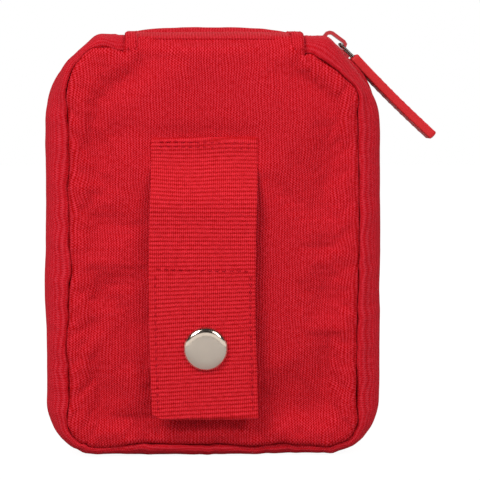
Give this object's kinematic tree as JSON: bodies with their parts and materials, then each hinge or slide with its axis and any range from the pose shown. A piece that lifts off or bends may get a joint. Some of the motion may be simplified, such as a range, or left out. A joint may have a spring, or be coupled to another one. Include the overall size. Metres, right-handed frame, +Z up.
{
  "type": "first aid kit",
  "caption": "Soft zipped first aid pouch: a lid that folds open about a fabric bridge, a snap-fastened belt strap, and dressings, tape, scissors and tweezers in mesh pockets.",
  "frame": {"origin": "on the plane the pouch stands on, under the middle of the space between the two panels' seams", "axes": "+Z up, +X to the right when looking at the back with the belt strap, +Y from the back towards the lid"},
  "size_m": [0.1403, 0.0625, 0.1505],
  "materials": {
    "red_fabric": "woven polyester",
    "red_webbing": "ribbed webbing",
    "red_tape": "zip tape and nylon coil",
    "red_rubber": "satin",
    "red_enamel": "gloss",
    "nickel": "satin nickel",
    "steel": "polished",
    "black_mesh": "open knitted mesh",
    "black_elastic": "ribbed elastic",
    "green_patch": "woven patch",
    "white_fabric": "woven cotton",
    "crepe": "crepe bandage",
    "white_plastic": "gloss",
    "paper": "matt",
    "silver_foil": "metallised film",
    "blue_nitrile": "matt",
    "orange_plastic": "satin"
  },
  "bodies": {
    "base": {"back_panel": "red_fabric", "back_gusset": "red_fabric", "back_seam_binding": "black_elastic", "bridge_back": "red_fabric", "zip_tape_back": "red_tape", "zip_coil_back": "red_tape", "strap_sewn_end": "red_webbing", "snap_stud": "nickel", "snap_rivet": "nickel", "stud_patch": "red_fabric", "back_pocket": "black_mesh", "back_pocket_elastic": "black_elastic", "scissor_blade_fixed": "steel", "scissor_handle_fixed": "orange_plastic", "scissor_pin": "nickel", "tweezers": "steel", "gloves_packet": "blue_nitrile", "crepe_bandage": "crepe", "gauze_bandage": "white_fabric", "tape_core": "white_plastic", "adhesive_tape": "paper", "foil_blanket": "silver_foil", "antiseptic_wipe_1": "paper", "antiseptic_wipe_2": "paper"},
    "lid": {"front_panel": "red_fabric", "front_gusset": "red_fabric", "front_seam_binding": "black_elastic", "bridge_front": "red_fabric", "zip_tape_front": "red_tape", "zip_coil_front": "red_tape", "lid_pocket": "black_mesh", "lid_pocket_elastic": "black_elastic", "gauze_sachet_1": "paper", "gauze_sachet_2": "paper", "plaster_1": "paper", "plaster_2": "paper", "plaster_3": "paper", "sign_patch": "green_patch", "sign_cross": "white_fabric"},
    "slider": {"zip_slider": "red_enamel"},
    "puller": {"pull_wire": "steel", "pull_tab": "red_rubber"},
    "strap": {"strap_upper": "red_webbing"},
    "strap_tail": {"strap_lower": "red_webbing", "snap_cap": "nickel", "snap_socket": "nickel"},
    "scissor_half": {"scissor_blade_moving": "steel", "scissor_handle_moving": "orange_plastic"}
  },
  "joints": [
    {"name": "lid_hinge", "type": "hinge", "parent": "base", "child": "lid", "pos_m": [0, 0.007, 0.1507], "axis": [1, 0, 0], "range_deg": [0, 175], "deforming": ["zip_tape_front", "zip_coil_front"]},
    {"name": "zip_slide", "type": "slide", "parent": "base", "child": "slider", "axis": [0.7595, 0, -0.6505], "range_m": [0, 0.006]},
    {"name": "puller_swing", "type": "hinge", "parent": "slider", "child": "puller", "pos_m": [0.04686, 0.007, 0.14532], "axis": [0, -1, 0], "range_deg": [0, 85]},
    {"name": "strap_hinge", "type": "hinge", "parent": "base", "child": "strap", "pos_m": [-0.0034, -0.028, 0.1074], "axis": [-1, 0, 0], "range_deg": [0, 150]},
    {"name": "strap_fold", "type": "hinge", "parent": "strap", "child": "strap_tail", "pos_m": [-0.0034, -0.0333, 0.0687], "axis": [-1, 0, 0], "range_deg": [0, 30]},
    {"name": "scissor_pivot", "type": "hinge", "parent": "base", "child": "scissor_half", "pos_m": [-0.01, -0.0184, 0.05], "axis": [0, -1, 0], "range_deg": [0, 20]}
  ]
}
